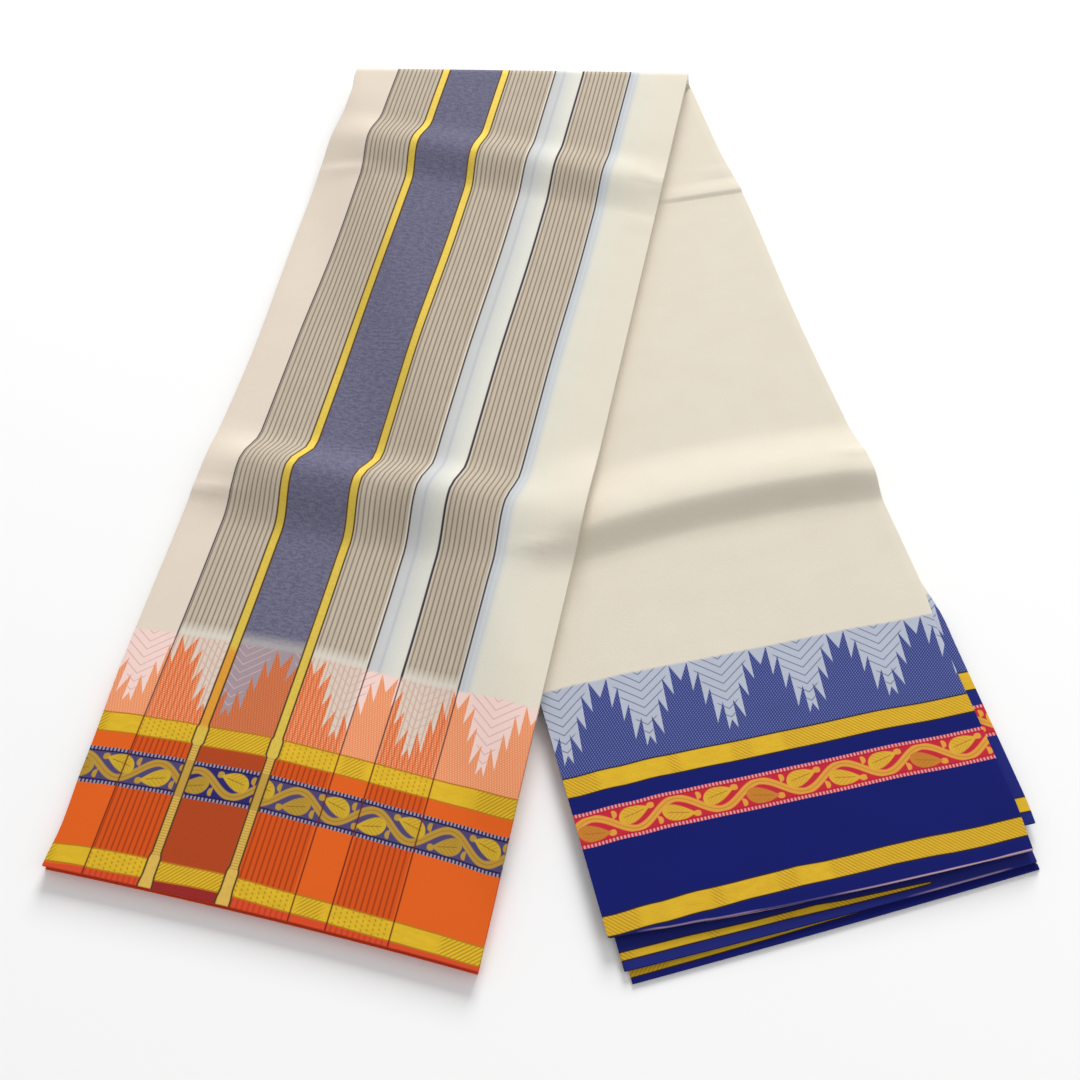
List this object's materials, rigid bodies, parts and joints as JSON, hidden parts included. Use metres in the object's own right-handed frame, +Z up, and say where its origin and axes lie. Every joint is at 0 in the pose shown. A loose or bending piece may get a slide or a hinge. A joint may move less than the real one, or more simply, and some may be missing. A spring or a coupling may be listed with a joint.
{
  "type": "folded dhoti cloth",
  "caption": "Long unstitched cotton cloth, pleated into a flat strip and folded over at its middle in a V shape, with a striped panel and woven end borders.",
  "frame": {"origin": "on the surface the cloth lies on, under the middle of its bounding box", "axes": "+Z up; +Y from the two open ends towards the fold at the top; +X to the right, so the upper arm runs to -X and the lower arm to +X"},
  "size_m": [0.5104, 0.6574, 0.0269],
  "materials": {
    "striped_cotton": "matt cotton with fine stripes, an indigo band, gold thread lines and an orange end border",
    "cream_cotton": "matt cream cotton with a deep blue end border",
    "blue_border_cotton": "deep blue woven border cotton with gold thread bands"
  },
  "bodies": {
    "root": {"outer_panel": "striped_cotton", "inner_panel": "cream_cotton", "hidden_plies": "blue_border_cotton"}
  },
  "joints": []
}
